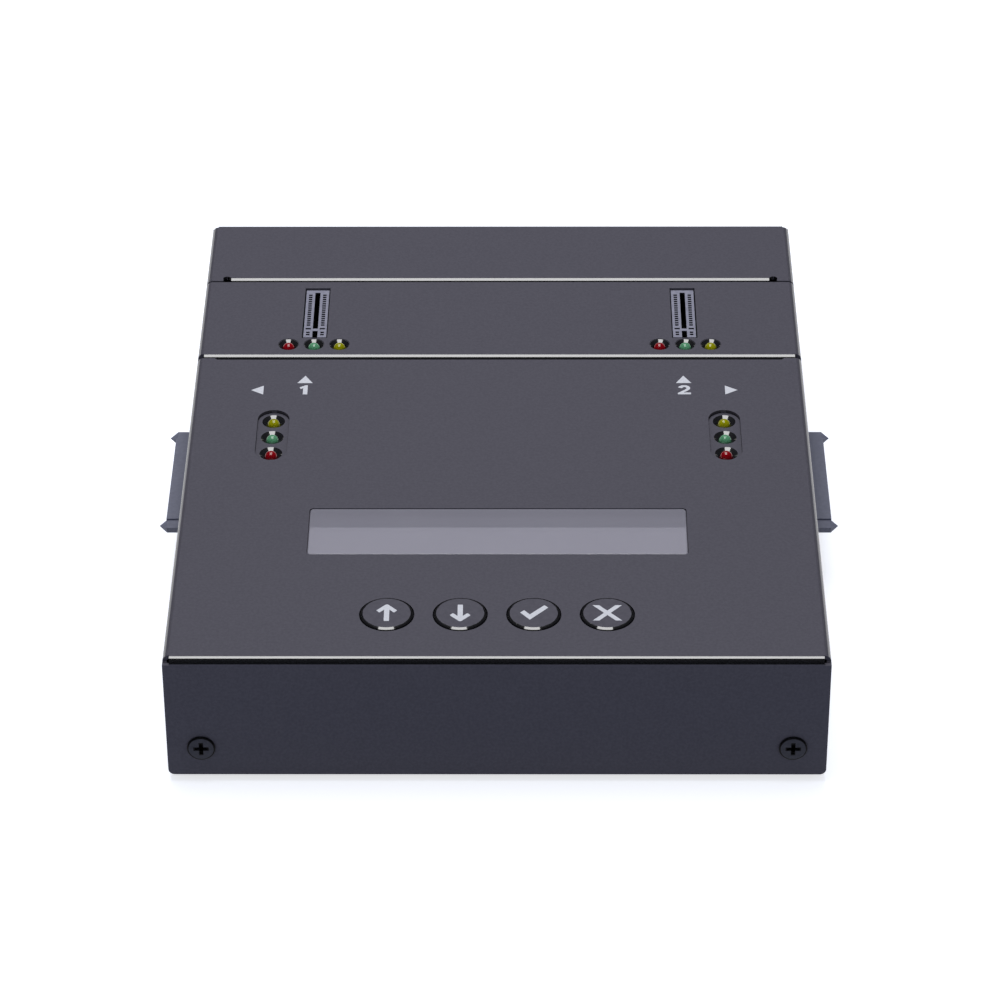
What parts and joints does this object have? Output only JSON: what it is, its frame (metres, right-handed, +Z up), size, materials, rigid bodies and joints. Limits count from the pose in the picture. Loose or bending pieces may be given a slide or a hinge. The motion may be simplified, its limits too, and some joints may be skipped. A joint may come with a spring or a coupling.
{
  "type": "drive duplicator",
  "caption": "Low folded-steel bench unit with a character display, round push buttons, status lamps, card slots in the top and a drive socket on each side.",
  "frame": {"origin": "middle of the bounding box in X and Y, on the plane that the rubber feet stand on", "axes": "+X towards the right-hand side as the user faces the buttons, +Y from the buttons towards the back panel, +Z up"},
  "size_m": [0.1642, 0.1908, 0.0353],
  "materials": {
    "casing_paint": "satin, fine texture",
    "screw_black": "semi-gloss",
    "screw_zinc": "plain",
    "foot_rubber": "matt",
    "pane_clear": "clear",
    "display_steel": "matt",
    "backlight_white": "matt",
    "board_laminate": "satin",
    "spacer_brass": "plain",
    "ribbon_grey": "matt",
    "button_black": "gloss",
    "plunger_white": "matt",
    "package_black": "matt",
    "sink_aluminium": "satin",
    "connector_grey": "satin",
    "slot_grey": "satin",
    "contact_gold": "bright",
    "well_black": "gloss",
    "lamp_red": "gloss",
    "lamp_green": "gloss",
    "lamp_yellow": "gloss",
    "spacer_nylon": "matt"
  },
  "bodies": {
    "case": {"base_tray": "casing_paint", "board_link": "package_black", "board_screws": "screw_zinc", "board_standoffs": "spacer_brass", "buzzer": "package_black", "capacitors": "sink_aluminium", "card_contacts": "contact_gold", "card_slot_left": "slot_grey", "card_slot_right": "slot_grey", "controller_chip": "package_black", "display_backlight": "backlight_white", "display_board": "board_laminate", "display_frame": "display_steel", "display_glass": "pane_clear", "display_lens": "pane_clear", "display_ribbon": "ribbon_grey", "display_screws": "screw_zinc", "display_spacers": "spacer_brass", "drive_contacts_left": "contact_gold", "drive_contacts_right": "contact_gold", "drive_socket_left": "connector_grey", "drive_socket_right": "connector_grey", "feet": "foot_rubber", "front_cover": "casing_paint", "front_screws": "screw_black", "heat_sink": "sink_aluminium", "key_board": "board_laminate", "key_screws": "screw_zinc", "key_spacers": "spacer_brass", "key_switches": "package_black", "main_board": "board_laminate", "power_jack": "package_black", "power_pin": "screw_zinc", "power_switch": "package_black", "rear_cover": "casing_paint", "rear_screws": "screw_black", "slot_board": "board_laminate", "slot_board_screws": "screw_zinc", "slot_cover": "casing_paint", "slot_lamp_spacers": "spacer_nylon", "slot_lamps_green": "lamp_green", "slot_lamps_red": "lamp_red", "slot_lamps_yellow": "lamp_yellow", "slot_standoffs": "spacer_brass", "slot_wells": "well_black", "status_lamp_spacers": "spacer_nylon", "status_lamps_green": "lamp_green", "status_lamps_red": "lamp_red", "status_lamps_yellow": "lamp_yellow", "status_wells": "well_black", "tray_screws": "screw_black"},
    "key_up": {"button_up": "button_black", "plunger_up": "plunger_white"},
    "key_down": {"button_down": "button_black", "plunger_down": "plunger_white"},
    "key_confirm": {"button_confirm": "button_black", "plunger_confirm": "plunger_white"},
    "key_cancel": {"button_cancel": "button_black", "plunger_cancel": "plunger_white"},
    "rocker": {"power_rocker": "button_black"}
  },
  "joints": [
    {"name": "up_press", "type": "slide", "parent": "case", "child": "key_up", "axis": [0, 0, -1], "range_m": [0, 0.0005], "stiffness_N_per_m": 3500},
    {"name": "down_press", "type": "slide", "parent": "case", "child": "key_down", "axis": [0, 0, -1], "range_m": [0, 0.0005], "stiffness_N_per_m": 3500},
    {"name": "confirm_press", "type": "slide", "parent": "case", "child": "key_confirm", "axis": [0, 0, -1], "range_m": [0, 0.0005], "stiffness_N_per_m": 3500},
    {"name": "cancel_press", "type": "slide", "parent": "case", "child": "key_cancel", "axis": [0, 0, -1], "range_m": [0, 0.0005], "stiffness_N_per_m": 3500},
    {"name": "power_tilt", "type": "hinge", "parent": "case", "child": "rocker", "pos_m": [0.026, 0.09138, 0.0177], "axis": [0, 0, 1], "range_deg": [-18, 0]}
  ]
}
